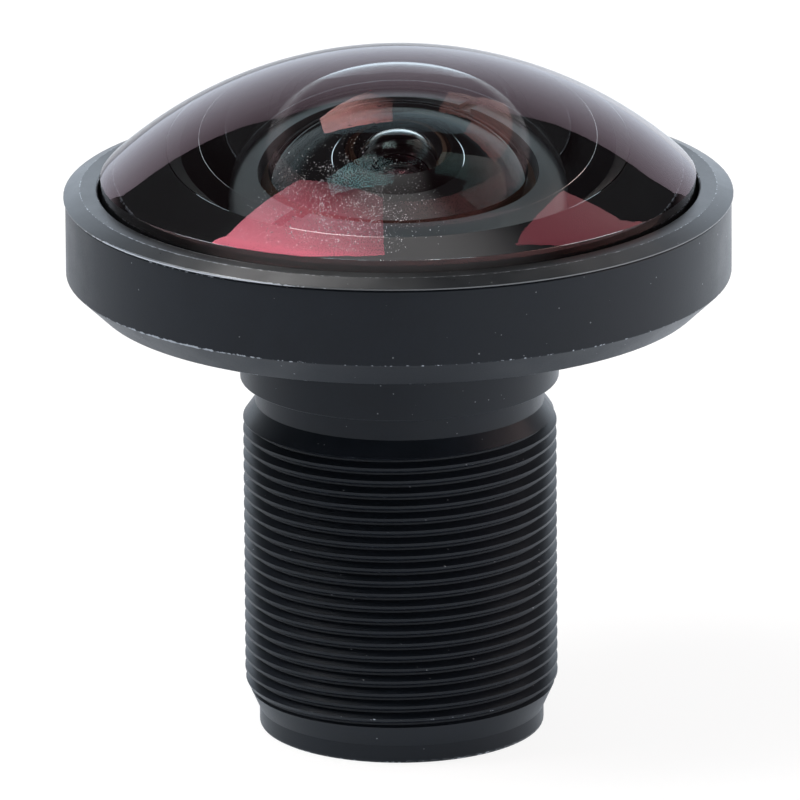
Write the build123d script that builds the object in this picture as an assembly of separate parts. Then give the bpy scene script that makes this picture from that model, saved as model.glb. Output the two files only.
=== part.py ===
from build123d import *
import os
from math import sqrt

# Fisheye lens on a standard M12 fine-thread barrel.
# Millimetres. The origin is the centre of the rear end face, +Z is the optical axis,
# and the domed front glass points up.

# Barrel, outside, from the rear end up
spigot_step = 0.545
spigot_length = 0.72
spigot_edge_round = 0.15
lead_chamfer_length = 1.21
thread_crest_radius = 6.0
thread_pitch = 0.5
thread_depth = 0.3
thread_crest_flat = 0.1
thread_root_flat = 0.07
thread_start_runout = 0.63
thread_end_runout = 0.05
thread_end_chamfer_length = 0.65
relief_depth = 0.46
relief_length = 0.93
neck_step = 0.1
neck_length = 3.17
neck_root_round = 0.12
head_chamfer_width = 1.11
head_chamfer_length = 1.05
head_side_length = 2.93
edge_break = 0.06

# Fits and small clearances
lens_fit = 0.03
ring_fit = 0.04
loose_fit = 0.05
overrun = 0.5

# Rear end of the bore: infrared filter, slip washer and threaded ring
rear_bore_step = 0.2
rear_bore_length = 2.2
rear_lead_in = 0.25
filter_pocket_step = 0.07
filter_thickness = 0.7
filter_pocket_length = 0.8
stop_lip_width = 1.1
stop_lip_thickness = 0.75
rear_ring_length = 1.4
rear_ring_wall = 1.09
rear_ring_bore_bevel = 0.3
washer_thickness = 0.12

# Dome lens, the front glass
dome_seat_depth = 1.78
dome_front_curve = 16.5
dome_edge_length = 2.74
dome_edge_radius = 11.36
dome_edge_bevel_width = 0.12
dome_edge_bevel_length = 0.14
dome_flange_width = 0.5
dome_flange_thickness = 0.8
dome_foot_width = 2.16
dome_step_depth = 1.25
dome_rear_curve = 7.8
dome_middle_thickness = 0.8

# Rubber seal in its groove under the dome lens
seal_edge_distance = 1.01
seal_width = 0.68
seal_groove_width = 0.88
seal_groove_depth = 0.5

# Front bezel, the threaded ring over the head that holds the dome lens
front_bore_step = 0.24
head_wall = 0.57
bezel_joint_gap = 0.05
bezel_overhang = 0.07
bezel_lip_land = 0.05
bezel_chamfer_width = 0.63
bezel_chamfer_length = 0.27
bezel_glass_gap = 0.13
bezel_bore_bevel = 0.05

# Second lens and its threaded ring
second_seat_floor = 1.05
second_lens_radius = 6.4
second_rim_thickness = 1.1
second_face_margin = 0.7
second_face_step = 0.8
second_front_curve = 9.0
second_rear_edge = 0.02
second_rear_curve = 2.3
second_ring_step = 1.21
second_ring_overlap = 0.25
second_ring_height = 1.0
boss_side_gap = 0.1
boss_top_gap = 0.15

# Inner stack of glasses and spacers, all of one diameter
barrel_wall = 0.94
rim_bevel = 0.12
glass_rim_width = 1.27
spacer_wall = 1.17
third_ring_recess = 1.0
third_ring_height = 0.8
third_ring_wall = 0.96
third_rim_thickness = 2.1
third_front_curve = 28.0
third_rear_curve = 4.8
third_rear_radius = 3.1
front_spacer_length = 1.0
fourth_rim_thickness = 1.3
fourth_front_curve = 8.0
fourth_rear_curve = 9.0
middle_spacer_length = 1.0
stop_plate_thickness = 0.15
stop_hole_radius = 1.35
stop_spacer_length = 0.8
fifth_rim_thickness = 1.2
fifth_front_curve = 7.0
cement_curve = 9.0
sixth_rim_thickness = 2.25
sixth_rear_curve = 20.0
rear_spacer_length = 0.8
seventh_rim_thickness = 1.8
seventh_front_curve = 7.5
seventh_rear_curve = 12.0
shim_thickness = 0.15

# Spanner slots in the threaded rings. The second ring stands turned by an angle in degrees.
slot_width = 0.7
slot_depth = 0.4
second_ring_turn = 55

# Heights worked out from the lengths above, first the stack from its rear lip up
stop_lip_height = rear_bore_length + filter_pocket_length
stack_low_height = stop_lip_height + stop_lip_thickness
filter_low_height = stop_lip_height - filter_thickness
seventh_low_height = stack_low_height + shim_thickness
seventh_high_height = seventh_low_height + seventh_rim_thickness
sixth_low_height = seventh_high_height + rear_spacer_length
cement_height = sixth_low_height + sixth_rim_thickness
fifth_high_height = cement_height + fifth_rim_thickness
stop_low_height = fifth_high_height + stop_spacer_length
stop_high_height = stop_low_height + stop_plate_thickness
fourth_low_height = stop_high_height + middle_spacer_length
fourth_high_height = fourth_low_height + fourth_rim_thickness
third_low_height = fourth_high_height + front_spacer_length
third_rim_top_height = third_low_height + third_rim_thickness
third_ring_top_height = third_rim_top_height + third_ring_height
second_seat_height = third_ring_top_height + third_ring_recess
second_rim_top_height = second_seat_height + second_rim_thickness

# The barrel's outside follows the stack, so the thread is as long as the stack needs
thread_start_height = spigot_length + lead_chamfer_length
head_height = second_seat_height - second_seat_floor
neck_height = head_height - neck_length
relief_height = neck_height - relief_length
thread_end_height = relief_height - thread_end_chamfer_length
head_side_height = head_height + head_chamfer_length
head_top_height = head_side_height + head_side_length
dome_seat_height = head_top_height - dome_seat_depth
dome_back_height = dome_seat_height + dome_step_depth
dome_flange_top_height = dome_seat_height + dome_flange_thickness
dome_face_height = dome_seat_height + dome_edge_length
boss_height = dome_back_height - boss_top_gap
bezel_low_height = head_top_height + bezel_joint_gap

# Radii worked out from the pieces that fit each other, the barrel first
spigot_radius = thread_crest_radius - spigot_step
relief_radius = thread_crest_radius - relief_depth
neck_radius = thread_crest_radius + neck_step
main_bore_radius = relief_radius - barrel_wall
stack_radius = main_bore_radius - lens_fit
glass_window_radius = stack_radius - glass_rim_width
spacer_window_radius = stack_radius - spacer_wall
third_ring_radius = main_bore_radius - ring_fit
third_ring_bore_radius = third_ring_radius - third_ring_wall
stop_lip_radius = main_bore_radius - stop_lip_width
filter_pocket_radius = main_bore_radius - filter_pocket_step
filter_radius = filter_pocket_radius - lens_fit
rear_bore_radius = filter_pocket_radius + rear_bore_step
rear_ring_radius = rear_bore_radius - ring_fit
rear_ring_bore_radius = rear_ring_radius - rear_ring_wall
second_pocket_radius = second_lens_radius + lens_fit
second_face_radius = second_lens_radius - second_face_margin
second_rear_radius = second_rear_curve - second_rear_edge
second_ring_bore_radius = second_lens_radius - second_ring_overlap
second_bore_radius = second_pocket_radius + second_ring_step
dome_face_radius = dome_edge_radius - dome_edge_bevel_width
dome_flange_radius = dome_edge_radius + dome_flange_width
dome_step_radius = dome_flange_radius - dome_foot_width
dome_pocket_radius = dome_flange_radius + ring_fit
boss_radius = dome_step_radius - boss_side_gap
seal_middle_radius = dome_flange_radius - seal_edge_distance
seal_groove_inner_radius = seal_middle_radius - seal_groove_width / 2
seal_groove_outer_radius = seal_middle_radius + seal_groove_width / 2
front_bore_radius = dome_pocket_radius + front_bore_step
head_radius = front_bore_radius + head_wall
bezel_bore_radius = dome_edge_radius + bezel_glass_gap
bezel_lip_radius = head_radius + bezel_overhang
bezel_top_radius = bezel_lip_radius - bezel_chamfer_width


def turned(*corners):
    """Solid of revolution about the optical axis. A corner is radius, height and any rounding."""
    points = [corner[:2] for corner in corners]
    roundings = [corner[2] if len(corner) > 2 else 0 for corner in corners]
    with BuildPart() as solid:
        with BuildSketch(Plane.XZ):
            with BuildLine():
                FilletPolyline(*points, radius=roundings, close=True)
            make_face()
        revolve(axis=Axis.Z)
    return solid.part


def ring(outer_radius, inner_radius, low, high, bevel=0):
    """Plain ring whose inner edges may be bevelled."""
    if not bevel:
        return turned((inner_radius, low), (outer_radius, low), (outer_radius, high), (inner_radius, high))
    return turned(
        (inner_radius + bevel, low),
        (outer_radius, low),
        (outer_radius, high),
        (inner_radius + bevel, high),
        (inner_radius, high - bevel),
        (inner_radius, low + bevel),
    )


def dome_height(curve, reach, radius=0):
    """Height of a spherical surface over its edge circle, at a radius from the axis."""
    return sqrt(curve**2 - radius**2) - sqrt(curve**2 - reach**2)


def spherical_edge(curve, reach, edge_height, direction):
    """Arc of a spherical surface from the axis out to its edge circle. Direction 1 bulges up, -1 down."""
    middle = reach / 2
    return ThreePointArc(
        (0, edge_height + direction * dome_height(curve, reach)),
        (middle, edge_height + direction * dome_height(curve, reach, middle)),
        (reach, edge_height),
    )


def lens(rim_radius, low, high, front, rear, face_step=0):
    """Lens with a cylindrical rim. Front and rear are curve radius, edge radius and direction.
    A face step lifts the front surface above the rim."""
    with BuildPart() as solid:
        with BuildSketch(Plane.XZ):
            with BuildLine():
                top = spherical_edge(front[0], front[1], high + face_step, front[2])
                bottom = spherical_edge(rear[0], rear[1], low, rear[2])
                if face_step:
                    Line(top @ 1, (front[1], high))
                rim_corners = [
                    (front[1], high),
                    (rim_radius - rim_bevel, high),
                    (rim_radius, high - rim_bevel),
                    (rim_radius, low + rim_bevel),
                    (rim_radius - rim_bevel, low),
                    (rear[1], low),
                ]
                Polyline(*rim_corners)
                Line(bottom @ 0, top @ 0)
            make_face()
        revolve(axis=Axis.Z)
    return solid.part


def spanner_slots(outer_radius, low, high):
    """Bar across a ring that cuts two opposite slots for a pin spanner."""
    return Pos(0, 0, (low + high) / 2) * Box(2 * outer_radius + overrun, slot_width, high - low)


def barrel_body():
    """Barrel without its thread: head, neck, threaded tube and every inner step."""
    seal_groove_floor = dome_seat_height - seal_groove_depth
    return turned(
        (rear_bore_radius + rear_lead_in, 0),
        (spigot_radius, 0, spigot_edge_round),
        (spigot_radius, spigot_length),
        (thread_crest_radius, thread_start_height),
        (thread_crest_radius, thread_end_height),
        (relief_radius, relief_height),
        (relief_radius, neck_height),
        (neck_radius, neck_height, edge_break),
        (neck_radius, head_height, neck_root_round),
        (head_radius - head_chamfer_width, head_height, edge_break),
        (head_radius, head_side_height, edge_break),
        (head_radius, head_top_height, edge_break),
        (front_bore_radius, head_top_height),
        (front_bore_radius, dome_flange_top_height),
        (dome_pocket_radius, dome_flange_top_height),
        (dome_pocket_radius, dome_seat_height),
        (seal_groove_outer_radius, dome_seat_height),
        (seal_groove_outer_radius, seal_groove_floor),
        (seal_groove_inner_radius, seal_groove_floor),
        (seal_groove_inner_radius, dome_seat_height),
        (boss_radius, dome_seat_height),
        (boss_radius, boss_height),
        (second_bore_radius, boss_height),
        (second_bore_radius, second_rim_top_height),
        (second_pocket_radius, second_rim_top_height),
        (second_pocket_radius, second_seat_height),
        (main_bore_radius, second_seat_height),
        (main_bore_radius, stack_low_height),
        (stop_lip_radius, stack_low_height),
        (stop_lip_radius, stop_lip_height),
        (filter_pocket_radius, stop_lip_height),
        (filter_pocket_radius, rear_bore_length),
        (rear_bore_radius, rear_bore_length),
        (rear_bore_radius, rear_lead_in),
    )


def thread_groove():
    """Helical groove between the crests, running out in the lead chamfer and under the shoulder."""
    start = thread_start_height - thread_start_runout
    path = Helix(
        pitch=thread_pitch,
        height=thread_end_height + thread_end_runout - start,
        radius=thread_crest_radius,
        center=(0, 0, start),
    )
    mouth = (thread_pitch - thread_crest_flat) / 2
    root = thread_root_flat / 2
    wide_mouth = mouth + (mouth - root) * loose_fit / thread_depth
    section_plane = Plane(origin=path @ 0, x_dir=(1, 0, 0), z_dir=path % 0)
    with BuildSketch(section_plane) as section:
        Polygon(
            (loose_fit, -wide_mouth),
            (loose_fit, wide_mouth),
            (-thread_depth, root),
            (-thread_depth, -root),
            align=None,
        )
    return sweep(section.sketch, path=path, is_frenet=True)


def barrel():
    """Barrel with its M12 fine thread cut."""
    return barrel_body() - thread_groove()


def front_bezel():
    """Threaded ring over the head's rim, with a sharp lip and a broad top chamfer."""
    skirt_low = dome_flange_top_height + washer_thickness
    skirt_radius = front_bore_radius - ring_fit
    lip_top = bezel_low_height + bezel_lip_land
    top = lip_top + bezel_chamfer_length
    return turned(
        (bezel_bore_radius, skirt_low),
        (skirt_radius, skirt_low),
        (skirt_radius, bezel_low_height),
        (bezel_lip_radius, bezel_low_height),
        (bezel_lip_radius, lip_top),
        (bezel_top_radius, top, edge_break),
        (bezel_bore_radius + bezel_bore_bevel, top),
        (bezel_bore_radius, top - bezel_bore_bevel),
    )


def bezel_washer():
    """Thin slip washer between the bezel's skirt and the dome lens."""
    low = dome_flange_top_height
    return ring(dome_flange_radius, dome_edge_radius + loose_fit, low, low + washer_thickness)


def dome_lens():
    """Deep meniscus front glass with a stepped flange and a stepped back."""
    hollow_apex = dome_face_height + dome_height(dome_front_curve, dome_face_radius) - dome_middle_thickness
    hollow_centre = hollow_apex - dome_rear_curve
    mouth_radius = sqrt(dome_rear_curve**2 - (dome_back_height - hollow_centre) ** 2)
    hollow_middle_radius = dome_rear_curve / 2
    hollow_middle_height = hollow_centre + sqrt(dome_rear_curve**2 - hollow_middle_radius**2)
    with BuildPart() as solid:
        with BuildSketch(Plane.XZ):
            with BuildLine():
                face = spherical_edge(dome_front_curve, dome_face_radius, dome_face_height, 1)
                hollow = ThreePointArc(
                    (0, hollow_apex),
                    (hollow_middle_radius, hollow_middle_height),
                    (mouth_radius, dome_back_height),
                )
                Polyline(
                    (dome_face_radius, dome_face_height),
                    (dome_edge_radius, dome_face_height - dome_edge_bevel_length),
                    (dome_edge_radius, dome_flange_top_height),
                    (dome_flange_radius, dome_flange_top_height),
                    (dome_flange_radius, dome_seat_height),
                    (dome_step_radius, dome_seat_height),
                    (dome_step_radius, dome_back_height),
                    (mouth_radius, dome_back_height),
                )
                Line(hollow @ 0, face @ 0)
            make_face()
        revolve(axis=Axis.Z)
    return solid.part


def dome_seal():
    """Rubber ring, pressed to the depth of its groove."""
    with BuildPart() as solid:
        with BuildSketch(Plane.XZ):
            with Locations((seal_middle_radius, dome_seat_height - seal_groove_depth / 2)):
                Ellipse(seal_width / 2, seal_groove_depth / 2)
        revolve(axis=Axis.Z)
    return solid.part


def second_lens_ring():
    """Threaded ring that holds the second lens, seen as a grey band through the dome."""
    high = second_rim_top_height + second_ring_height
    outer_radius = second_bore_radius - ring_fit
    body = ring(outer_radius, second_ring_bore_radius, second_rim_top_height, high)
    slots = spanner_slots(outer_radius, high - slot_depth, high + overrun)
    return body - Rot(0, 0, second_ring_turn) * slots


def second_lens():
    """Deep meniscus whose stepped face stands up into the hollow of the dome lens."""
    front = (second_front_curve, second_face_radius, 1)
    rear = (second_rear_curve, second_rear_radius, 1)
    low = second_seat_height
    return lens(second_lens_radius, low, second_rim_top_height, front, rear, second_face_step)


def third_lens_ring():
    """Threaded ring that clamps the whole inner stack from the front."""
    high = third_ring_top_height
    body = ring(third_ring_radius, third_ring_bore_radius, third_rim_top_height, high, rim_bevel)
    return body - spanner_slots(third_ring_radius, high - slot_depth, high + overrun)


def third_lens():
    """Small lens, hollow on both sides."""
    front = (third_front_curve, glass_window_radius, -1)
    rear = (third_rear_curve, third_rear_radius, 1)
    return lens(stack_radius, third_low_height, third_rim_top_height, front, rear)


def fourth_lens():
    """Small lens that bulges on both sides."""
    front = (fourth_front_curve, glass_window_radius, 1)
    rear = (fourth_rear_curve, glass_window_radius, -1)
    return lens(stack_radius, fourth_low_height, fourth_high_height, front, rear)


def cemented_blank(low, high):
    """Plain glass cylinder that one half of the cemented pair is cut from."""
    return turned((0, low), (stack_radius, low), (stack_radius, high), (0, high))


def cement_ball():
    """Ball whose lower side is the shared surface of the cemented pair."""
    centre_height = cement_height + sqrt(cement_curve**2 - stack_radius**2)
    return Pos(0, 0, centre_height) * Sphere(cement_curve)


def glass_cap(curve, base_height):
    """Spherical cap over a glass window, standing on a flat lens face."""
    with BuildPart() as solid:
        with BuildSketch(Plane.XZ):
            with BuildLine():
                top = spherical_edge(curve, glass_window_radius, base_height, 1)
                Polyline(top @ 1, (0, base_height), top @ 0)
            make_face()
        revolve(axis=Axis.Z)
    return solid.part


def fifth_lens():
    """Front half of the cemented pair, bulging on both sides."""
    blank_low = cement_height - dome_height(cement_curve, stack_radius) - overrun
    blank = cemented_blank(blank_low, fifth_high_height)
    return (blank & cement_ball()) + glass_cap(fifth_front_curve, fifth_high_height)


def sixth_lens():
    """Rear half of the cemented pair, hollow on both sides."""
    blank = cemented_blank(sixth_low_height, cement_height)
    return blank - cement_ball() - glass_cap(sixth_rear_curve, sixth_low_height)


def seventh_lens():
    """Rear lens, bulging on both sides, on its shim."""
    front = (seventh_front_curve, glass_window_radius, 1)
    rear = (seventh_rear_curve, glass_window_radius, -1)
    return lens(stack_radius, seventh_low_height, seventh_high_height, front, rear)


def stack_ring(low, high):
    """Black spacer between two glasses of the inner stack."""
    return ring(stack_radius, spacer_window_radius, low, high, rim_bevel)


def aperture_stop():
    """Thin plate whose small hole sets the light that the lens takes in."""
    return ring(stack_radius, stop_hole_radius, stop_low_height, stop_high_height)


def focus_shim():
    """Thin shim that sets the place of the seventh lens."""
    return ring(stack_radius, stop_lip_radius, stack_low_height, seventh_low_height)


def infrared_filter():
    """Flat filter glass against the rear side of the stop lip."""
    corners = [(0, filter_low_height), (filter_radius, filter_low_height)]
    return turned(*corners, (filter_radius, stop_lip_height), (0, stop_lip_height))


def filter_washer():
    """Thin slip washer between the filter and the rear ring."""
    low = filter_low_height - washer_thickness
    return ring(filter_radius, rear_ring_bore_radius, low, filter_low_height)


def rear_ring():
    """Threaded ring that holds the filter, with spanner slots in its outer face."""
    high = filter_low_height - washer_thickness
    low = high - rear_ring_length
    body = turned(
        (rear_ring_bore_radius + rear_ring_bore_bevel, low),
        (rear_ring_radius, low),
        (rear_ring_radius, high),
        (rear_ring_bore_radius, high),
        (rear_ring_bore_radius, low + rear_ring_bore_bevel),
    )
    return body - spanner_slots(rear_ring_radius, low - overrun, low + slot_depth)


def main():
    os.makedirs("parts", exist_ok=True)
    nodes = {
        "barrel": barrel(),
        "front_bezel": front_bezel(),
        "bezel_washer": bezel_washer(),
        "dome_lens": dome_lens(),
        "dome_seal": dome_seal(),
        "second_lens_ring": second_lens_ring(),
        "second_lens": second_lens(),
        "third_lens_ring": third_lens_ring(),
        "third_lens": third_lens(),
        "front_spacer": stack_ring(fourth_high_height, third_low_height),
        "fourth_lens": fourth_lens(),
        "middle_spacer": stack_ring(stop_high_height, fourth_low_height),
        "aperture_stop": aperture_stop(),
        "stop_spacer": stack_ring(fifth_high_height, stop_low_height),
        "fifth_lens": fifth_lens(),
        "sixth_lens": sixth_lens(),
        "rear_spacer": stack_ring(seventh_high_height, sixth_low_height),
        "seventh_lens": seventh_lens(),
        "focus_shim": focus_shim(),
        "infrared_filter": infrared_filter(),
        "filter_washer": filter_washer(),
        "rear_ring": rear_ring(),
    }
    for name, shape in nodes.items():
        export_step(shape, f"parts/{name}.step")


main()
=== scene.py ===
from math import asin, cos, pi, radians, sin, sqrt

import bmesh
import bpy
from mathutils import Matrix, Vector


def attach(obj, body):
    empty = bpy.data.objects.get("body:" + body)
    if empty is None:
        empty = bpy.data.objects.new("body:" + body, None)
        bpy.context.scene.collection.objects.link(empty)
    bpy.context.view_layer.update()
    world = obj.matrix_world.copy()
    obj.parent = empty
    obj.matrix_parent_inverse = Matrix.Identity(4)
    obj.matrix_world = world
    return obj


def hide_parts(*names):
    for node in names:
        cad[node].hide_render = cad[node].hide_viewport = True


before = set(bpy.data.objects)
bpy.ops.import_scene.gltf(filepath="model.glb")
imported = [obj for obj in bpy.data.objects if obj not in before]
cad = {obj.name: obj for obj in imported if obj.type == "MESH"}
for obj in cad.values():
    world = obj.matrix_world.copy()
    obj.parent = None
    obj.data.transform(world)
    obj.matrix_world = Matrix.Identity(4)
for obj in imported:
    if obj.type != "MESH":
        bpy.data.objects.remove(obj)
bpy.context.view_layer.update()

MM = 0.001
scene = bpy.context.scene

# Dome lens, in millimetres, the same sizes as its solid. A pair is a radius and a height.
DOME_FRONT_CURVE = 16.5
DOME_FACE = (11.24, 21.99)
DOME_EDGE_RADIUS = 11.36
DOME_EDGE_TOP = 21.85
DOME_FLANGE = (11.86, 20.05)
DOME_SEAT_HEIGHT = 19.25
DOME_STEP_RADIUS = 9.7
DOME_BACK_HEIGHT = 20.5
DOME_REAR_CURVE = 7.8
DOME_MIDDLE_THICKNESS = 0.8
DOME_FRONT_CENTRE = DOME_FACE[1] - sqrt(DOME_FRONT_CURVE**2 - DOME_FACE[0] ** 2)
DOME_HOLLOW_CENTRE = DOME_FRONT_CENTRE + DOME_FRONT_CURVE - DOME_MIDDLE_THICKNESS - DOME_REAR_CURVE
DOME_MOUTH_RADIUS = sqrt(DOME_REAR_CURVE**2 - (DOME_BACK_HEIGHT - DOME_HOLLOW_CENTRE) ** 2)

# Second lens, in the same way. The mouth band is the blackened part of its hollow.
SECOND_FRONT_CURVE = 9.0
SECOND_FACE = (5.7, 20.0)
SECOND_RIM = (6.4, 19.2)
SECOND_SEAT_HEIGHT = 18.1
SECOND_REAR_CURVE = 2.3
SECOND_REAR_RADIUS = 2.28
SECOND_BEVEL = 0.12
SECOND_MOUTH_BAND = 0.9
SECOND_FRONT_CENTRE = SECOND_FACE[1] - sqrt(SECOND_FRONT_CURVE**2 - SECOND_FACE[0] ** 2)
SECOND_HOLLOW_CENTRE = SECOND_SEAT_HEIGHT - sqrt(SECOND_REAR_CURVE**2 - SECOND_REAR_RADIUS**2)

# Edge circles of the metal that show wear, and the dome's black step edge, which carries a painted
# highlight ring
HEAD_TOP_EDGE = (12.71, 21.03)
HEAD_LOW_EDGE = (12.71, 18.1)
HEAD_FOOT_EDGE = (11.6, 17.05)
THREAD_END_EDGE = (6.0, 12.3)
THREAD_START_EDGE = (6.0, 1.93)
SPIGOT_EDGE = (5.4, 0.05)
BEZEL_LIP_EDGE = (12.78, 21.1)
BEZEL_TOP_EDGE = (12.15, 21.4)
BEZEL_BORE_EDGE = (11.5, 21.38)
# Painted highlight: a lighter grey ring on the dome's black ink along this step edge
DOME_STEP_EDGE = (DOME_STEP_RADIUS, DOME_BACK_HEIGHT)

# The black edges of a glass lie this far inside its skin
INK_DEPTH = 0.015
CURVE_TOLERANCE = 0.15
AXIS_TOLERANCE = 1e-5
LATHE_STEPS = 256
ARC_STEPS = 56
SHARP_ANGLE = radians(20)


def arc(curve, centre_height, reach):
    """Points of a spherical surface from the optical axis out to a radius."""
    last = asin(reach / curve)
    angles = [last * step / ARC_STEPS for step in range(ARC_STEPS + 1)]
    return [(curve * sin(angle), centre_height + curve * cos(angle)) for angle in angles]


def new_object(name, data):
    made = bpy.data.objects.new(name, data)
    scene.collection.objects.link(made)
    return made


def lathe(name, profile):
    """Surface of revolution about the optical axis from pairs of radius and height in millimetres."""
    mesh = bmesh.new()
    turns = [2 * pi * step / LATHE_STEPS for step in range(LATHE_STEPS)]
    rings = []
    for radius, height in profile:
        if radius < AXIS_TOLERANCE:
            points = [(0, 0, height * MM)]
        else:
            points = [(radius * MM * cos(turn), radius * MM * sin(turn), height * MM) for turn in turns]
        rings.append([mesh.verts.new(point) for point in points])
    for near, far in zip(rings[:-1], rings[1:]):
        for step in range(LATHE_STEPS):
            after = (step + 1) % LATHE_STEPS
            if len(near) == 1:
                mesh.faces.new((near[0], far[step], far[after]))
            elif len(far) == 1:
                mesh.faces.new((near[step], far[0], near[after]))
            else:
                mesh.faces.new((near[step], far[step], far[after], near[after]))
    bmesh.ops.recalc_face_normals(mesh, faces=mesh.faces)
    data = bpy.data.meshes.new(name)
    mesh.to_mesh(data)
    mesh.free()
    data.shade_smooth()
    data.set_sharp_from_angle(angle=SHARP_ANGLE)
    return new_object(name, data)


# Nodes


def feed(tree, socket, value):
    """Gives an input a fixed value, or links it where the value is a socket."""
    if isinstance(value, bpy.types.NodeSocket):
        tree.links.new(value, socket)
    else:
        socket.default_value = value


def add(tree, kind, sockets=None, **settings):
    """Node with its settings and the values of its sockets."""
    made = tree.nodes.new(kind)
    for key, value in settings.items():
        setattr(made, key, value)
    for key, value in (sockets or {}).items():
        feed(tree, made.inputs[key], value)
    return made


def calc(tree, operation, *values, clamp=False):
    """Result of a math node on numbers or sockets."""
    node = add(tree, "ShaderNodeMath", dict(enumerate(values)), operation=operation)
    node.use_clamp = clamp
    return node.outputs[0]


def measure(tree, operation, *vectors):
    """Number that a vector math node gives for one or two vectors."""
    node = add(tree, "ShaderNodeVectorMath", dict(enumerate(vectors)), operation=operation)
    return node.outputs["Value"]


def scaled(tree, vector, factor):
    """Vector or colour times a factor."""
    sockets = {0: vector, "Scale": factor}
    return add(tree, "ShaderNodeVectorMath", sockets, operation="SCALE").outputs[0]


def ramp(tree, value, low, high, start=0.0, end=1.0, easing="SMOOTHSTEP"):
    """Value that goes from start to end as another goes from low to high."""
    sockets = {"Value": value, "From Min": low, "From Max": high, "To Min": start, "To Max": end}
    return add(tree, "ShaderNodeMapRange", sockets, interpolation_type=easing).outputs["Result"]


def noise(tree, position, scale, detail):
    """Soft noise around a half."""
    sockets = {"Vector": position, "Scale": scale, "Detail": detail}
    return add(tree, "ShaderNodeTexNoise", sockets).outputs[0]


def blend_colour(tree, share, first, second):
    """Colour between two colours by a share from 0 to 1."""
    node = add(tree, "ShaderNodeMix", {0: share, 6: first, 7: second}, data_type="RGBA")
    return node.outputs[2]


def object_position(tree):
    return add(tree, "ShaderNodeTexCoord").outputs["Object"]


def scale_for(tree, size):
    """Scale at which a texture's features have a size in millimetres."""
    return calc(tree, "DIVIDE", 1 / MM, size)


def node_group(name, inputs, outputs, kind="ShaderNodeTree"):
    """Empty node group with named inputs, each with its starting value, and named outputs."""
    tree = bpy.data.node_groups.new(name, kind)
    for label, socket_type, value in inputs:
        socket = tree.interface.new_socket(label, in_out="INPUT", socket_type=socket_type)
        if value is not None:
            socket.default_value = value
    for label, socket_type in outputs:
        tree.interface.new_socket(label, in_out="OUTPUT", socket_type=socket_type)
    return tree, tree.nodes.new("NodeGroupInput"), tree.nodes.new("NodeGroupOutput")


def label_of(key):
    """Input name that a keyword stands for, such as Even Wear for even_wear_and_highlight."""
    return key.replace("_", " ").title()


def place(tree, group, **values):
    """Group node with values for some of its inputs."""
    made = add(tree, "ShaderNodeGroup", node_tree=group)
    for key, value in values.items():
        feed(tree, made.inputs[label_of(key)], value)
    return made


NUMBER = "NodeSocketFloat"
VECTOR = "NodeSocketVector"
GEOMETRY = "NodeSocketGeometry"


def turned_place_group():
    """Radius and height in millimetres, and the direction from the axis, for turned pieces."""
    outputs = [("Radius", NUMBER), ("Height", NUMBER), ("Direction", VECTOR)]
    tree, given, result = node_group("turned_place", [], outputs)
    parts = add(tree, "ShaderNodeSeparateXYZ", {0: object_position(tree)})
    sides = {"X": parts.outputs["X"], "Y": parts.outputs["Y"]}
    flat = add(tree, "ShaderNodeCombineXYZ", sides).outputs[0]
    radius = measure(tree, "LENGTH", flat)
    direction = add(tree, "ShaderNodeVectorMath", {0: flat}, operation="NORMALIZE").outputs["Vector"]
    tree.links.new(calc(tree, "DIVIDE", radius, MM), result.inputs["Radius"])
    tree.links.new(calc(tree, "DIVIDE", parts.outputs["Z"], MM), result.inputs["Height"])
    tree.links.new(direction, result.inputs["Direction"])
    return tree


def blasted_grain_group():
    """Fine pitted grain of a blasted surface, and the slow change of tone of its anodising."""
    pit_edge = 0.35
    pit_depth = 0.5
    slow_swing = 4.0
    fine_swing = 3.0
    inputs = [("Grain Size", NUMBER, 0.07), ("Mottle Size", NUMBER, 1.4), ("Mottle", NUMBER, 0.15)]
    tree, given, result = node_group("blasted_grain", inputs, [("Height", NUMBER), ("Tone", NUMBER)])
    position = object_position(tree)
    fine_scale = scale_for(tree, given.outputs["Grain Size"])
    fine = noise(tree, position, fine_scale, 2.0)
    pits = add(tree, "ShaderNodeTexVoronoi", {"Vector": position, "Scale": fine_scale})
    deep = calc(tree, "MULTIPLY", ramp(tree, pits.outputs["Distance"], 0.0, pit_edge), pit_depth)
    tree.links.new(calc(tree, "ADD", fine, deep), result.inputs["Height"])
    slow = noise(tree, position, scale_for(tree, given.outputs["Mottle Size"]), 4.0)
    tone = 1.0
    for texture, swing in ((slow, slow_swing), (fine, fine_swing)):
        share = calc(tree, "MULTIPLY", calc(tree, "SUBTRACT", texture, 0.5), given.outputs["Mottle"])
        tone = calc(tree, "MULTIPLY_ADD", share, swing, tone)
    tree.links.new(tone, result.inputs["Tone"])
    return tree


def turning_lines_group(turned_place):
    """Concentric lines that a lathe tool leaves, on faces and walls alike."""
    drift_scale = 300.0
    inputs = [("Line Pitch", NUMBER, 0.06), ("Waver", NUMBER, 0.4)]
    tree, given, result = node_group("turning_lines", inputs, [("Height", NUMBER)])
    where = place(tree, turned_place)
    along = calc(tree, "ADD", where.outputs["Radius"], where.outputs["Height"])
    steps = calc(tree, "DIVIDE", along, given.outputs["Line Pitch"])
    drift = noise(tree, object_position(tree), drift_scale, 1.0)
    moved = calc(tree, "ADD", steps, calc(tree, "MULTIPLY", drift, given.outputs["Waver"]))
    sockets = {"W": moved, "Scale": 1.0, "Detail": 3.0}
    lines = add(tree, "ShaderNodeTexNoise", sockets, noise_dimensions="1D")
    tree.links.new(lines.outputs[0], result.inputs["Height"])
    return tree


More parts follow.
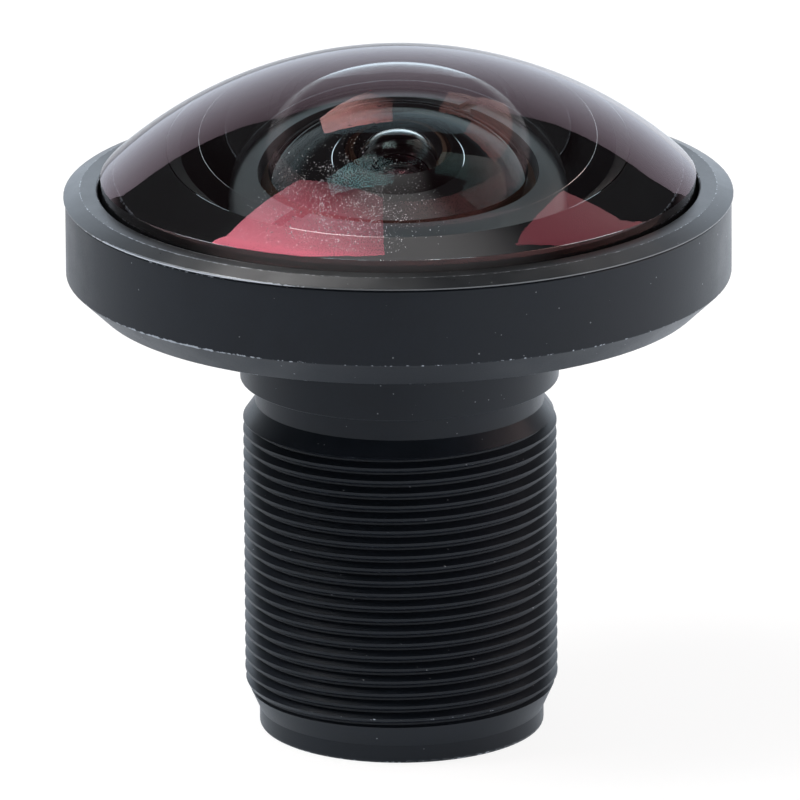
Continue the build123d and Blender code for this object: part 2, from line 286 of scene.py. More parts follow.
def edge_wear_and_highlight_group(turned_place):
    """Mask of metal rubbed through its anodising along one edge circle, more of it towards one side. On
    the dome's black ink it masks a painted highlight ring.
    """
    chip_edge = 0.12
    inputs = [
        ("Edge Radius", NUMBER, 10.0),
        ("Edge Height", NUMBER, 10.0),
        ("Reach", NUMBER, 0.1),
        ("Chips", NUMBER, 0.5),
        ("Even Wear", NUMBER, 0.3),
        ("Side Wear", NUMBER, 0.0),
        ("Worn Side", VECTOR, (-0.66, -0.75, 0.0)),
        ("Focus", NUMBER, 30.0),
    ]
    tree, given, result = node_group("edge_wear_and_highlight", inputs, [("Mask", NUMBER)])
    where = place(tree, turned_place)
    out = calc(tree, "SUBTRACT", where.outputs["Radius"], given.outputs["Edge Radius"])
    up = calc(tree, "SUBTRACT", where.outputs["Height"], given.outputs["Edge Height"])
    squares = calc(tree, "ADD", calc(tree, "POWER", out, 2.0), calc(tree, "POWER", up, 2.0))
    away = calc(tree, "DIVIDE", calc(tree, "SQRT", squares), given.outputs["Reach"])
    closeness = calc(tree, "SUBTRACT", 1.0, away, clamp=True)
    facing = measure(tree, "DOT_PRODUCT", where.outputs["Direction"], given.outputs["Worn Side"])
    side = calc(tree, "POWER", calc(tree, "MAXIMUM", facing, 0.0), given.outputs["Focus"])
    side_wear_and_highlight = calc(tree, "MULTIPLY", side, given.outputs["Side Wear"])
    wear_and_highlight_strength = calc(tree, "ADD", given.outputs["Even Wear"], side_wear_and_highlight)
    drive = calc(tree, "MULTIPLY", calc(tree, "MULTIPLY", closeness, wear_and_highlight_strength), 2.0)
    chipped = calc(tree, "ADD", drive, calc(tree, "SUBTRACT", given.outputs["Chips"], 1.0))
    tree.links.new(ramp(tree, chipped, 0.0, chip_edge), result.inputs["Mask"])
    return tree


def settled_dust_group():
    """Mask of fine pale specks lying on a surface."""
    largest_speck = 0.34
    inputs = [("Speck Size", NUMBER, 0.12), ("Cover", NUMBER, 0.08)]
    tree, given, result = node_group("settled_dust", inputs, [("Mask", NUMBER)])
    scale = scale_for(tree, given.outputs["Speck Size"])
    cells = add(tree, "ShaderNodeTexVoronoi", {"Vector": object_position(tree), "Scale": scale})
    chance = add(tree, "ShaderNodeSeparateColor", {0: cells.outputs["Color"]})
    chosen = calc(tree, "LESS_THAN", chance.outputs[0], given.outputs["Cover"])
    small = calc(tree, "MULTIPLY", chance.outputs[1], largest_speck)
    speck = calc(tree, "LESS_THAN", cells.outputs["Distance"], small)
    tree.links.new(calc(tree, "MULTIPLY", chosen, speck), result.inputs["Mask"])
    return tree


def glass_haze_group():
    """Very slight change of polish over a glass surface, left by handling."""
    patch_edges = (0.45, 0.75)
    inputs = [("Clean", NUMBER, 0.0), ("Hazy", NUMBER, 0.03), ("Patch Size", NUMBER, 3.0)]
    tree, given, result = node_group("glass_haze", inputs, [("Roughness", NUMBER)])
    patches = noise(tree, object_position(tree), scale_for(tree, given.outputs["Patch Size"]), 3.0)
    spread = ramp(tree, patches, *patch_edges)
    gap = calc(tree, "SUBTRACT", given.outputs["Hazy"], given.outputs["Clean"])
    roughness = calc(tree, "MULTIPLY_ADD", spread, gap, given.outputs["Clean"])
    tree.links.new(roughness, result.inputs["Roughness"])
    return tree


turned_place = turned_place_group()
blasted_grain = blasted_grain_group()
turning_lines = turning_lines_group(turned_place)
edge_wear_and_highlight = edge_wear_and_highlight_group(turned_place)
settled_dust = settled_dust_group()
glass_haze = glass_haze_group()


# Finishes

LATHE_DIRECTION = 0.25
BUMP_DEPTH = 0.003 * MM
CHIP_SCALE = 5200.0
TONE_TO_ROUGHNESS = 0.3
DUST_STRENGTH = 0.5
DUST_COLOUR = (0.35, 0.36, 0.38, 1)
# Painted sheen on the dome's black ink: the side it lies on and how far round it spreads
SHEEN_SIDE = (-0.1, -0.995, 0)
SHEEN_FACING = (0.76, 1.0)
STEP_BLUR = 0.02
CLEAR_COLOUR = (0.96, 0.96, 0.96, 1)


def start_material(name):
    material = bpy.data.materials.new(name)
    material.use_nodes = True
    tree = material.node_tree
    return material, tree, tree.nodes["Principled BSDF"]


def set_surface(tree, shader):
    tree.links.new(shader.outputs[0], tree.nodes["Material Output"].inputs["Surface"])


def wear_and_highlight_mask(tree, edges):
    """Mask along all the marked edges of a finish: metal rubbed through its anodising, and on the dome's
    black ink a painted highlight ring.
    """
    chips = noise(tree, object_position(tree), CHIP_SCALE, 4.0)
    wear_and_highlight = 0.0
    for (radius, height), reach, even_wear_and_highlight, side_wear_and_highlight in edges:
        edge = place(tree, edge_wear_and_highlight, edge_radius=radius, edge_height=height, reach=reach)
        feed(tree, edge.inputs["Chips"], chips)
        feed(tree, edge.inputs["Even Wear"], even_wear_and_highlight)
        feed(tree, edge.inputs["Side Wear"], side_wear_and_highlight)
        wear_and_highlight = calc(tree, "MAXIMUM", wear_and_highlight, edge.outputs["Mask"])
    return wear_and_highlight


def front_sheen_share(tree):
    """Share of painted sheen on a turned edge, most where it faces the front."""
    direction = place(tree, turned_place).outputs["Direction"]
    return ramp(tree, measure(tree, "DOT_PRODUCT", direction, SHEEN_SIDE), *SHEEN_FACING)


def stepped_roughness(tree, step_radius, inside, outside):
    """Roughness that changes at a radius, on a turned face."""
    radius = place(tree, turned_place).outputs["Radius"]
    low = step_radius - STEP_BLUR
    high = step_radius + STEP_BLUR
    return ramp(tree, radius, low, high, inside, outside, easing="LINEAR")


def black_finish(
    name,
    colour,
    roughness,
    specular,
    ior=1.5,
    anisotropy=0.0,
    grain=0.35,
    mottle=0.15,
    lines=0.0,
    edges=(),
    bare_and_highlight=(0.4, 0.42, 0.45),
    dust=0.0,
    front_sheen=None,
    flat_top=None,
):
    """Black surface with grain, turning lines, rubbed edges and dust, and on the ink a painted highlight
    ring and a painted sheen.

    An edge is its circle, its reach, how much it is rubbed all round and how much more towards one side,
    and the edge colour is the colour under it: rubbed-through metal on the metal finishes, a painted
    highlight on the ink. The front colour is a painted sheen, a lighter grey that is strongest where the
    surface faces the front.
    A flat top is a radius and the roughness inside it.
    """
    material, tree, shader = start_material(name)
    shader.inputs["Specular IOR Level"].default_value = specular
    shader.inputs["IOR"].default_value = ior
    shader.inputs["Anisotropic"].default_value = anisotropy
    shader.inputs["Anisotropic Rotation"].default_value = LATHE_DIRECTION
    surface = place(tree, blasted_grain, mottle=mottle)
    tone = surface.outputs["Tone"]
    base = scaled(tree, colour, tone)
    # Painted sheen: lighter grey where the surface faces the front
    if front_sheen:
        base = blend_colour(tree, front_sheen_share(tree), base, (*front_sheen, 1))
    # Metal rubbed through at its edges, and on the ink a painted highlight ring
    if edges:
        wear_and_highlight = wear_and_highlight_mask(tree, edges)
        base = blend_colour(tree, wear_and_highlight, base, (*bare_and_highlight, 1))
        tree.links.new(wear_and_highlight, shader.inputs["Metallic"])
    if dust:
        specks = place(tree, settled_dust, cover=dust).outputs["Mask"]
        base = blend_colour(tree, calc(tree, "MULTIPLY", specks, DUST_STRENGTH), base, DUST_COLOUR)
    tree.links.new(base, shader.inputs["Base Color"])
    if flat_top:
        roughness = stepped_roughness(tree, *flat_top, roughness)
    rougher = calc(tree, "MULTIPLY", calc(tree, "SUBTRACT", tone, 1.0), TONE_TO_ROUGHNESS)
    tree.links.new(calc(tree, "ADD", roughness, rougher), shader.inputs["Roughness"])
    height = calc(tree, "MULTIPLY", surface.outputs["Height"], grain)
    if lines:
        cut = place(tree, turning_lines).outputs["Height"]
        height = calc(tree, "MULTIPLY_ADD", cut, lines, height)
    bump = add(tree, "ShaderNodeBump", {"Strength": 1.0, "Distance": BUMP_DEPTH, "Height": height})
    tree.links.new(bump.outputs["Normal"], shader.inputs["Normal"])
    return material


def coated_glass(name, tint, ior):
    """Coated glass: a weak tinted reflection face on, a full one at a grazing angle. Lets light pass."""
    material, tree, shader = start_material(name)
    shader.inputs["Base Color"].default_value = (1, 1, 1, 1)
    shader.inputs["IOR"].default_value = ior
    shader.inputs["Transmission Weight"].default_value = 1
    shader.inputs["Specular Tint"].default_value = (*tint, 1)
    tree.links.new(place(tree, glass_haze).outputs["Roughness"], shader.inputs["Roughness"])
    clear = add(tree, "ShaderNodeBsdfTransparent", {"Color": CLEAR_COLOUR})
    path = add(tree, "ShaderNodeLightPath")
    either = calc(tree, "MAXIMUM", path.outputs["Is Shadow Ray"], path.outputs["Is Diffuse Ray"])
    mix = add(tree, "ShaderNodeMixShader", {0: either, 1: shader.outputs[0], 2: clear.outputs[0]})
    set_surface(tree, mix)
    return material


# Each worn edge: circle, reach, wear all round, wear on the worn side. On the dome's black ink the same
# columns set a painted highlight ring.
barrel_edges = [
    (HEAD_TOP_EDGE, 0.09, 0.2, 0.2),
    (HEAD_LOW_EDGE, 0.16, 0.24, 0.15),
    (HEAD_FOOT_EDGE, 0.12, 0.22, 0.1),
    (THREAD_END_EDGE, 0.12, 0.2, 0.0),
    (THREAD_START_EDGE, 0.14, 0.22, 0.0),
    (SPIGOT_EDGE, 0.14, 0.28, 0.0),
]
bezel_edges = [
    (BEZEL_LIP_EDGE, 0.12, 0.2, 1.2),
    (BEZEL_TOP_EDGE, 0.08, 0.27, 0.1),
    (BEZEL_BORE_EDGE, 0.14, 0.3, 0.3),
]
# Painted highlight: a lighter grey ring along the dome's black step edge, in place of the light that
# edge catches
step_highlight_edges = [(DOME_STEP_EDGE, 0.07, 0.4, 0.0)]

barrel_anodised = black_finish(
    "barrel_anodised",
    colour=(0.0075, 0.0098, 0.014),
    roughness=0.36,
    specular=0.26,
    anisotropy=0.6,
    grain=0.5,
    edges=barrel_edges,
    dust=0.015,
)
bezel_anodised = black_finish(
    "bezel_anodised",
    colour=(0.007, 0.0085, 0.01),
    roughness=0.33,
    specular=0.8,
    ior=1.9,
    anisotropy=0.65,
    grain=0.3,
    lines=0.6,
    edges=bezel_edges,
    bare_and_highlight=(0.6, 0.62, 0.65),
    dust=0.03,
    flat_top=(BEZEL_TOP_EDGE[0], 0.35),
)
ring_anodised = black_finish(
    "ring_anodised",
    colour=(0.018, 0.021, 0.024),
    roughness=0.42,
    specular=0.7,
    anisotropy=0.3,
    grain=0.4,
    lines=0.3,
)
# Black ink inside the glass, with a painted highlight ring at the dome's step and a painted sheen where
# its edge faces the front
edge_ink = black_finish(
    "edge_ink",
    colour=(0.004, 0.0045, 0.005),
    roughness=0.7,
    specular=0.05,
    edges=step_highlight_edges,
    # Lighter grey of the painted highlight ring at the step
    bare_and_highlight=(0.12, 0.13, 0.15),
    # Lighter grey of the painted sheen on the front
    front_sheen=(0.075, 0.073, 0.075),
)
spacer_black = black_finish("spacer_black", (0.01, 0.01, 0.011), roughness=0.5, specular=0.3)
stop_black = black_finish("stop_black", (0.008, 0.008, 0.009), roughness=0.6, specular=0.3)
washer_film = black_finish("washer_film", (0.01, 0.01, 0.01), roughness=0.5, specular=0.3)
seal_rubber = black_finish("seal_rubber", (0.012, 0.012, 0.012), roughness=0.6, specular=0.3)
amber_ink = black_finish("amber_ink", (0.05, 0.026, 0.016), roughness=0.6, specular=0.2, mottle=0.2)
dust_grey = black_finish("dust_grey", (0.8, 0.8, 0.82), roughness=0.8, specular=0.2)
dome_front = coated_glass("dome_front", tint=(0.72, 0.09, 0.17), ior=1.75)
dome_rear = coated_glass("dome_rear", tint=(0.35, 0.10, 0.09), ior=1.75)
second_front = coated_glass("second_front", tint=(0.033, 0.095, 0.108), ior=1.7)
second_rear = coated_glass("second_rear", tint=(0.12, 0.15, 0.15), ior=1.7)
inner_glass = coated_glass("inner_glass", tint=(0.35, 0.10, 0.12), ior=1.6)
filter_glass = coated_glass("filter_glass", tint=(0.3, 0.2, 0.35), ior=1.52)

# Pieces that keep their solid's shape
finishes = {
    "barrel": barrel_anodised,
    "front_bezel": bezel_anodised,
    "bezel_washer": washer_film,
    "dome_seal": seal_rubber,
    "second_lens_ring": ring_anodised,
    "third_lens_ring": ring_anodised,
    "third_lens": inner_glass,
    "front_spacer": spacer_black,
    "fourth_lens": inner_glass,
    "middle_spacer": spacer_black,
    "aperture_stop": stop_black,
    "stop_spacer": spacer_black,
    "fifth_lens": inner_glass,
    "sixth_lens": inner_glass,
    "rear_spacer": spacer_black,
    "seventh_lens": inner_glass,
    "focus_shim": stop_black,
    "infrared_filter": filter_glass,
    "filter_washer": washer_film,
    "rear_ring": ring_anodised,
}
for name, finish in finishes.items():
    cad[name].material_slots[0].material = finish


# Glasses that carry a coating on each side, and the black edges inside their skin

FRONT_COAT = 0
REAR_COAT = 1
MOUTH_INK = 2


def coat_sides(piece, front, rear, centre_height, curve):
    """Gives the faces on the front curve one coating and all the others the second."""
    piece.data.materials.append(front)
    piece.data.materials.append(rear)
    for face in piece.data.polygons:
        middle = face.center / MM - Vector((0, 0, centre_height))
        on_front = abs(middle.length - curve) < CURVE_TOLERANCE and middle.z > 0
        face.material_index = FRONT_COAT if on_front else REAR_COAT


def fit_piece(piece, slot, *nodes):
    if nodes:
        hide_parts(*nodes)
    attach(piece, "lens_barrel")


def dome_glass():
    rim = [
        (DOME_EDGE_RADIUS, DOME_EDGE_TOP),
        (DOME_EDGE_RADIUS, DOME_FLANGE[1]),
        DOME_FLANGE,
        (DOME_FLANGE[0], DOME_SEAT_HEIGHT),
        (DOME_STEP_RADIUS, DOME_SEAT_HEIGHT),
        (DOME_STEP_RADIUS, DOME_BACK_HEIGHT),
    ]
    front = arc(DOME_FRONT_CURVE, DOME_FRONT_CENTRE, DOME_FACE[0])
    hollow = arc(DOME_REAR_CURVE, DOME_HOLLOW_CENTRE, DOME_MOUTH_RADIUS)
    piece = lathe("dome_glass", front + rim + hollow[::-1])
    coat_sides(piece, dome_front, dome_rear, DOME_FRONT_CENTRE, DOME_FRONT_CURVE)
    fit_piece(piece, "dome_glass", "dome_lens")


def dome_ink():
    e = INK_DEPTH
    profile = [
        (DOME_MOUTH_RADIUS + 2 * e, DOME_BACK_HEIGHT + e),
        (DOME_STEP_RADIUS + e, DOME_BACK_HEIGHT + e),
        (DOME_STEP_RADIUS + e, DOME_SEAT_HEIGHT + e),
        (DOME_FLANGE[0] - e, DOME_SEAT_HEIGHT + e),
        (DOME_FLANGE[0] - e, DOME_FLANGE[1] - e),
        (DOME_EDGE_RADIUS - e, DOME_FLANGE[1] - e),
        (DOME_EDGE_RADIUS - e, DOME_EDGE_TOP - e),
    ]
    piece = lathe("dome_ink", profile)
    piece.data.materials.append(edge_ink)
    fit_piece(piece, "stop_black")


def second_glass():
    """Second lens, with the lowest part of its hollow blackened."""
    rim = [
        (SECOND_FACE[0], SECOND_RIM[1]),
        (SECOND_RIM[0] - SECOND_BEVEL, SECOND_RIM[1]),
        (SECOND_RIM[0], SECOND_RIM[1] - SECOND_BEVEL),
        (SECOND_RIM[0], SECOND_SEAT_HEIGHT + SECOND_BEVEL),
        (SECOND_RIM[0] - SECOND_BEVEL, SECOND_SEAT_HEIGHT),
    ]
    front = arc(SECOND_FRONT_CURVE, SECOND_FRONT_CENTRE, SECOND_FACE[0])
    hollow = arc(SECOND_REAR_CURVE, SECOND_HOLLOW_CENTRE, SECOND_REAR_RADIUS)
    piece = lathe("second_glass", front + rim + hollow[::-1])
    coat_sides(piece, second_front, second_rear, SECOND_FRONT_CENTRE, SECOND_FRONT_CURVE)
    piece.data.materials.append(edge_ink)
    for face in piece.data.polygons:
        middle = face.center / MM
        low = middle.z < SECOND_SEAT_HEIGHT + SECOND_MOUTH_BAND
        if low and middle.xy.length < SECOND_REAR_CURVE:
            face.material_index = MOUTH_INK
    fit_piece(piece, "second_glass", "second_lens")


def second_ink():
    """Edge of the second lens: amber above, where it shows through the glass, and black at its seat."""
    e = INK_DEPTH
    profile = [
        (SECOND_FACE[0] - e, SECOND_FACE[1] - 2 * e),
        (SECOND_FACE[0] - e, SECOND_RIM[1] - e),
        (SECOND_RIM[0] - SECOND_BEVEL - e, SECOND_RIM[1] - e),
        (SECOND_RIM[0] - e, SECOND_RIM[1] - SECOND_BEVEL - e),
        (SECOND_RIM[0] - e, SECOND_SEAT_HEIGHT + SECOND_BEVEL + e),
        (SECOND_RIM[0] - SECOND_BEVEL - e, SECOND_SEAT_HEIGHT + e),
        (SECOND_REAR_RADIUS + 2 * e, SECOND_SEAT_HEIGHT + e),
    ]
    piece = lathe("second_ink", profile)
    piece.data.materials.append(amber_ink)
    piece.data.materials.append(edge_ink)
    black_top = SECOND_SEAT_HEIGHT + 2 * SECOND_BEVEL
    for face in piece.data.polygons:
        face.material_index = 0 if face.center.z / MM > black_top else 1
    fit_piece(piece, "stop_black")


dome_glass()
dome_ink()
second_glass()
second_ink()

# Dust that has settled on the dome and along the second lens's ring

CLUMP_SCALE = 1800.0
CLUMP_EDGES = (0.4, 0.65)
THINNING = 1.5
SMALL_FLAKES = 4.0
SIZE_SEED = 7
TURN_SEED = 0
FLAKE_WIDTH = 0.6
FLAKE_THICKNESS = 0.35
FULL_TURN = (6.3, 6.3, 6.3)


def flake_density(tree, given):
    """Flakes for each square metre: most at the centre, none past the reach, and in clumps."""
    position = add(tree, "GeometryNodeInputPosition").outputs[0]
    far = measure(tree, "DISTANCE", position, given.outputs["Centre"])
    away = calc(tree, "DIVIDE", far, given.outputs["Reach"])
    near = calc(tree, "SUBTRACT", 1.0, away, clamp=True)
    clumps = ramp(tree, noise(tree, position, CLUMP_SCALE, 3.0), *CLUMP_EDGES)
    share = calc(tree, "MULTIPLY", calc(tree, "POWER", near, THINNING), clumps)
    return calc(tree, "MULTIPLY", share, given.outputs["Flakes Per Square Metre"])


def flake_chance(tree, seed):
    """Random number from 0 to 1 for each flake."""
    return add(tree, "FunctionNodeRandomValue", {"Seed": seed}, data_type="FLOAT").outputs[1]


def flake_size(tree, given):
    """Length, width and thickness of each flake. Most of them are near the smallest."""
    size_range = calc(tree, "SUBTRACT", given.outputs["Largest"], given.outputs["Smallest"])
    chance = calc(tree, "POWER", flake_chance(tree, SIZE_SEED), SMALL_FLAKES)
    size = calc(tree, "MULTIPLY_ADD", chance, size_range, given.outputs["Smallest"])
    narrow = calc(tree, "MULTIPLY", size, FLAKE_WIDTH)
    thin = calc(tree, "MULTIPLY", size, FLAKE_THICKNESS)
    return add(tree, "ShaderNodeCombineXYZ", {"X": size, "Y": narrow, "Z": thin}).outputs[0]


def dust_tree():
    """Scatters flat flakes over a surface, thickest at a centre and thinning out to a reach."""
    inputs = [
        ("Geometry", GEOMETRY, None),
        ("Flakes Per Square Metre", NUMBER, 1e7),
        ("Smallest", NUMBER, 0.009 * MM),
        ("Largest", NUMBER, 0.032 * MM),
        ("Centre", VECTOR, (0, 0, 0)),
        ("Reach", NUMBER, 3 * MM),
        ("Seed", "NodeSocketInt", 1),
        ("Material", "NodeSocketMaterial", None),
    ]
    outputs = [("Geometry", GEOMETRY)]
    tree, given, result = node_group("dust_flakes", inputs, outputs, "GeometryNodeTree")
    surface = {
        "Mesh": given.outputs["Geometry"],
        "Density": flake_density(tree, given),
        "Seed": given.outputs["Seed"],
    }
    points = add(tree, "GeometryNodeDistributePointsOnFaces", surface).outputs[0]
    flake = add(tree, "GeometryNodeMeshIcoSphere", {"Radius": 1.0, "Subdivisions": 1}).outputs[0]
    lying = {
        "Points": points,
        "Instance": flake,
        "Rotation": scaled(tree, FULL_TURN, flake_chance(tree, TURN_SEED)),
        "Scale": flake_size(tree, given),
    }
    many = add(tree, "GeometryNodeInstanceOnPoints", lying)
    real = add(tree, "GeometryNodeRealizeInstances", {0: many.outputs[0]})
    paint = {"Geometry": real.outputs[0], "Material": given.outputs["Material"]}
    painted = add(tree, "GeometryNodeSetMaterial", paint)
    tree.links.new(painted.outputs[0], result.inputs["Geometry"])
    return tree


def patch(rings, start, end, steps):
    """Open surface between rings of radius and height, from one angle to another.

    The angles are in degrees from the front, minus to the left.
    """
    angles = [radians(start + (end - start) * step / steps) for step in range(steps + 1)]
    points = []
    for radius, height in rings:
        points += [(radius * MM * sin(a), -radius * MM * cos(a), height * MM) for a in angles]
    wide = steps + 1
    faces = []
    for row in range(len(rings) - 1):
        for step in range(steps):
            near = row * wide + step
            far = near + wide
            faces.append((near, near + 1, far + 1, far))
    data = bpy.data.meshes.new("dust_patch")
    data.from_pydata(points, [], faces)
    return data


def scatter_dust(name, surface, slot, **values):
    """Runs the flakes over a surface and keeps them as a plain mesh."""
    carrier = new_object(name + "_carrier", surface)
    modifier = carrier.modifiers.new("flakes", "NODES")
    modifier.node_group = flakes
    sockets = [item for item in flakes.interface.items_tree if item.in_out == "INPUT"]
    identifiers = {socket.name: socket.identifier for socket in sockets}
    for key, value in values.items():
        modifier[identifiers[label_of(key)]] = value
    modifier[identifiers["Material"]] = dust_grey
    evaluated = carrier.evaluated_get(bpy.context.evaluated_depsgraph_get())
    data = bpy.data.meshes.new_from_object(evaluated)
    bpy.data.objects.remove(carrier)
    data.name = name
    fit_piece(new_object(name, data), slot)


flakes = dust_tree()
dome_clean_rings = 10
dome_clean_edge = 0.1
dome_rings = arc(DOME_FRONT_CURVE, DOME_FRONT_CENTRE, DOME_FACE[0] - dome_clean_edge)
scatter_dust(
    "dome_dust",
    patch(dome_rings[dome_clean_rings:], start=-60, end=40, steps=60),
    "dome_glass",
    flakes_per_square_metre=7e8,
    centre=(-2.2 * MM, -9.3 * MM, 23.1 * MM),
    reach=4.2 * MM,
    seed=3,
)
ring_line = [(7.42, 20.202), (7.58, 20.202)]
scatter_dust(
    "ring_dust",
    patch(ring_line, start=-75, end=75, steps=90),
    "ring_anodised",
    flakes_per_square_metre=3e8,
    centre=(0, -7 * MM, 20.2 * MM),
    reach=14 * MM,
    seed=5,
)

# Stage, in metres: two softboxes overhead, a panel on the right, one behind, and the floor

FADE_LIMITS = (0.12, 1.1)
LAMP_HEIGHT = 0.45
GLASS_HEIGHT = 0.02
SIDE_PANEL_X = 0.45
BACK_PANEL_Y = 0.8


def panel(name, corners, colour, strength, fade=None):
    """Glowing panel that the camera doesn't see.

    A fade is a vector. The light grows along it, as the dot product with a point's place, within
    the fade limits.
    """
    data = bpy.data.meshes.new(name)
    data.from_pydata(corners, [], [range(len(corners))])
    piece = new_object(name, data)
    material, tree, shader = start_material(name)
    tree.nodes.remove(shader)
    if fade:
        grown = measure(tree, "DOT_PRODUCT", object_position(tree), fade)
        grown = calc(tree, "MAXIMUM", grown, FADE_LIMITS[0])
        grown = calc(tree, "MINIMUM", grown, FADE_LIMITS[1])
        strength = calc(tree, "MULTIPLY", grown, strength)
    light = add(tree, "ShaderNodeEmission", {"Color": (*colour, 1), "Strength": strength})
    set_surface(tree, light)
    data.materials.append(material)
    piece.visible_camera = False


# Corners of the softboxes to the right and to the back, as shares of their height over the glass
left_corners = [
    (-1.25, 0.0),
    (-0.36, 0.32),
    (-0.056, 0.09),
    (-0.062, -0.35),
    (-0.75, -0.4),
    (-1.25, -0.45),
]
right_corners = [
    (0.50, -0.10),
    (0.50, 0.01),
    (0.648, 0.463),
    (1.06, 0.63),
    (1.30, 0.70),
    (1.30, -0.10),
]
softboxes = [
    ("softbox_left", left_corners, (1, 0.98, 0.97), 9, (-3.8, -2.8, 0)),
    ("softbox_right", right_corners, (1, 0.95, 0.9), 1.9, None),
]
for name, shares, colour, strength, fade in softboxes:
    raised = [(x * LAMP_HEIGHT, y * LAMP_HEIGHT, LAMP_HEIGHT + GLASS_HEIGHT) for x, y in shares]
    panel(name, raised, colour, strength, fade)

side_outline = [(-0.21, 0.09), (0.25, 0.09), (0.25, 0.36), (-0.2, 0.44)]
side_corners = [(SIDE_PANEL_X, y, z) for y, z in side_outline]
panel("side_panel", side_corners, (1, 0.78, 0.75), 2.0)

back_left = [(-0.58, -0.05), (-0.56, 0.41), (-0.47, 0.53), (-0.37, 0.64), (-0.3, 0.74)]
back_right = [(0.28, 0.74), (0.37, 0.62), (0.47, 0.54), (0.57, 0.46), (0.59, -0.05)]
back_corners = [(x, BACK_PANEL_Y, z) for x, z in back_left + back_right]
panel("back_panel", back_corners, (0.78, 0.88, 1.0), 1.3, (0, 1.44, -1.1))

WHITE = (1, 1, 1, 1)
FLOOR_REACH = 4
FLOOR_HEIGHT = -0.01 * MM
PAPER_SEEN = (0.2, 0.2, 0.2, 1)
PAPER_GLOW = 0.86
PAPER_LIT = (0.45, 0.48, 0.52, 1)
BOUNCE_COLOUR = (0.84, 0.92, 1.0, 1)
NEAR_BOUNCE = {"low": 0.015, "high": 0.06, "start": 0.22, "end": 0.0}
RIGHT_BOUNCE = {"low": -0.01, "high": 0.06, "start": 0.26, "end": 0.95}


def paper_as_lit(tree):
    """What all but the camera see of the floor: grey paper, brighter close by and to the right."""
    position = object_position(tree)
    sides = add(tree, "ShaderNodeSeparateXYZ", {0: position})
    near = ramp(tree, measure(tree, "LENGTH", position), **NEAR_BOUNCE)
    right = ramp(tree, sides.outputs["X"], **RIGHT_BOUNCE)
    glow = {"Color": BOUNCE_COLOUR, "Strength": calc(tree, "ADD", near, right)}
    bounced = add(tree, "ShaderNodeEmission", glow)
    paper = add(tree, "ShaderNodeBsdfDiffuse", {"Color": PAPER_LIT})
    return add(tree, "ShaderNodeAddShader", {0: paper.outputs[0], 1: bounced.outputs[0]})


def white_floor():
    """White paper, clear when seen from below. The camera sees it white with a trace of shadow."""
    square = [(-1, -1), (1, -1), (1, 1), (-1, 1)]
    corners = [(x * FLOOR_REACH, y * FLOOR_REACH, FLOOR_HEIGHT) for x, y in square]
    data = bpy.data.meshes.new("floor")
    data.from_pydata(corners, [], [(0, 1, 2, 3)])
    floor = new_object("floor", data)
    material, tree, shader = start_material("floor_paper")
    tree.nodes.remove(shader)
    paper = add(tree, "ShaderNodeBsdfDiffuse", {"Color": PAPER_SEEN})
    glow = add(tree, "ShaderNodeEmission", {"Color": WHITE, "Strength": PAPER_GLOW})
    seen = add(tree, "ShaderNodeAddShader", {0: paper.outputs[0], 1: glow.outputs[0]})
    camera_ray = add(tree, "ShaderNodeLightPath").outputs["Is Camera Ray"]
    sheet = {0: camera_ray, 1: paper_as_lit(tree).outputs[0], 2: seen.outputs[0]}
    top = add(tree, "ShaderNodeMixShader", sheet)
    from_below = add(tree, "ShaderNodeNewGeometry").outputs["Backfacing"]
    clear = add(tree, "ShaderNodeBsdfTransparent")
    one_way = {0: from_below, 1: top.outputs[0], 2: clear.outputs[0]}
    set_surface(tree, add(tree, "ShaderNodeMixShader", one_way))
    data.materials.append(material)


# World. A height of 1 is straight up, and a depth of 1 is straight behind the lens.
BACKDROP_HEIGHTS = {"low": 0.06, "high": 0.34, "start": 1.0, "end": 0.0}
BACKDROP_DEPTHS = {"low": -0.35, "high": 0.25}
RIGHT_TURN = 0.5
BACKDROP_STRENGTH = 0.95
ROOM_STRENGTH = 0.03
ROOM_COLOUR = (0.86, 0.93, 1.0, 1)
FILL_STRENGTH = 0.36


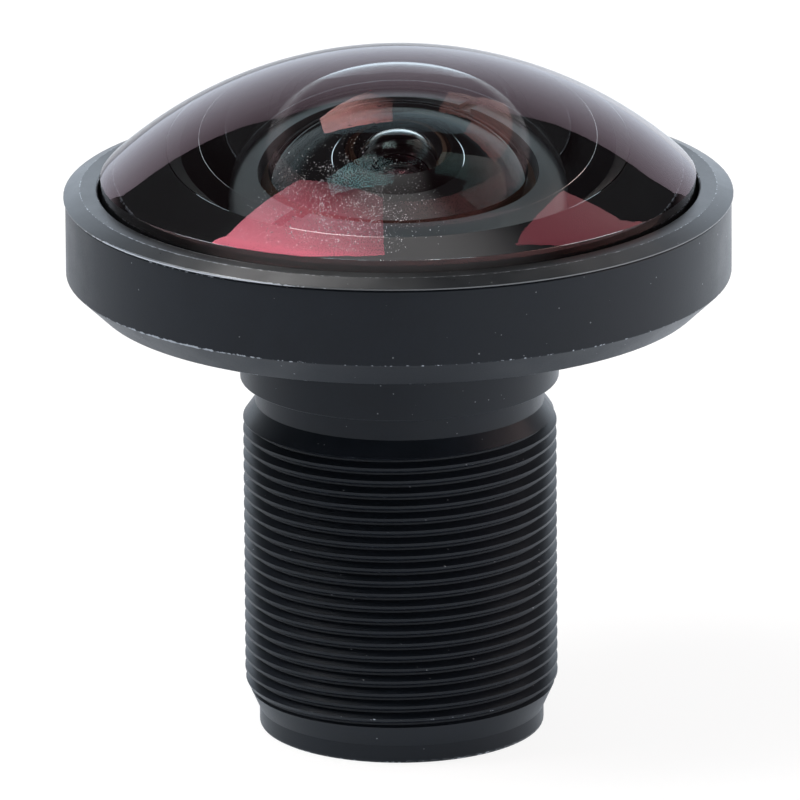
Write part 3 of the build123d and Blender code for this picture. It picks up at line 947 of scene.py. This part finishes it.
def studio_world():
    """White for the camera. Metal and glass see a backdrop low down behind, and a dim room above."""
    world = bpy.data.worlds.new("studio")
    scene.world = world
    world.use_nodes = True
    tree = world.node_tree
    outward = add(tree, "ShaderNodeTexCoord").outputs["Generated"]
    direction = add(tree, "ShaderNodeSeparateXYZ", {0: outward})
    low = ramp(tree, direction.outputs["Z"], **BACKDROP_HEIGHTS)
    right = calc(tree, "MULTIPLY", calc(tree, "MAXIMUM", direction.outputs["X"], 0.0), RIGHT_TURN)
    behind = ramp(tree, calc(tree, "ADD", direction.outputs["Y"], right), **BACKDROP_DEPTHS)
    backdrop = calc(tree, "MULTIPLY", low, behind)
    strength = calc(tree, "MULTIPLY_ADD", backdrop, BACKDROP_STRENGTH, ROOM_STRENGTH)
    room = tree.nodes["Background"]
    room.inputs["Color"].default_value = ROOM_COLOUR
    tree.links.new(strength, room.inputs["Strength"])
    fill = add(tree, "ShaderNodeBackground", {"Color": WHITE, "Strength": FILL_STRENGTH})
    seen = add(tree, "ShaderNodeBackground", {"Color": WHITE, "Strength": 1.0})
    path = add(tree, "ShaderNodeLightPath").outputs
    lit = {0: path["Is Diffuse Ray"], 1: room.outputs[0], 2: fill.outputs[0]}
    soft = add(tree, "ShaderNodeMixShader", lit)
    whole = {0: path["Is Camera Ray"], 1: soft.outputs[0], 2: seen.outputs[0]}
    both = add(tree, "ShaderNodeMixShader", whole)
    tree.links.new(both.outputs[0], tree.nodes["World Output"].inputs["Surface"])


white_floor()
studio_world()

# Camera, at the photograph's viewing angle and frame
CAMERA_ELEVATION = radians(17.2)
CAMERA_ROLL = radians(-0.38)
CAMERA_DISTANCE = 0.73
SENSOR_WIDTH = 36
AIM_HEIGHT = 12 * MM
PIXELS_PER_MM = 26.13
FRAME_PIXELS = 800
AIM_PIXEL = (399.85, 421.4)
LIGHT_BOUNCES = 20

camera = bpy.data.cameras.new("camera")
viewer = new_object("camera", camera)
scene.camera = viewer
gaze = Vector((0, cos(CAMERA_ELEVATION), -sin(CAMERA_ELEVATION)))
viewer.location = Vector((0, 0, AIM_HEIGHT)) - gaze * CAMERA_DISTANCE
viewer.rotation_euler = gaze.to_track_quat("-Z", "Y").to_euler()
viewer.rotation_euler.rotate_axis("Z", CAMERA_ROLL)
camera.sensor_width = SENSOR_WIDTH
camera.lens = SENSOR_WIDTH * PIXELS_PER_MM * CAMERA_DISTANCE / MM / FRAME_PIXELS
camera.shift_x = (FRAME_PIXELS / 2 - AIM_PIXEL[0]) / FRAME_PIXELS
camera.shift_y = (AIM_PIXEL[1] - FRAME_PIXELS / 2) / FRAME_PIXELS
scene.view_settings.view_transform = "Standard"
scene.cycles.max_bounces = LIGHT_BOUNCES
scene.cycles.transmission_bounces = LIGHT_BOUNCES
scene.cycles.transparent_max_bounces = LIGHT_BOUNCES
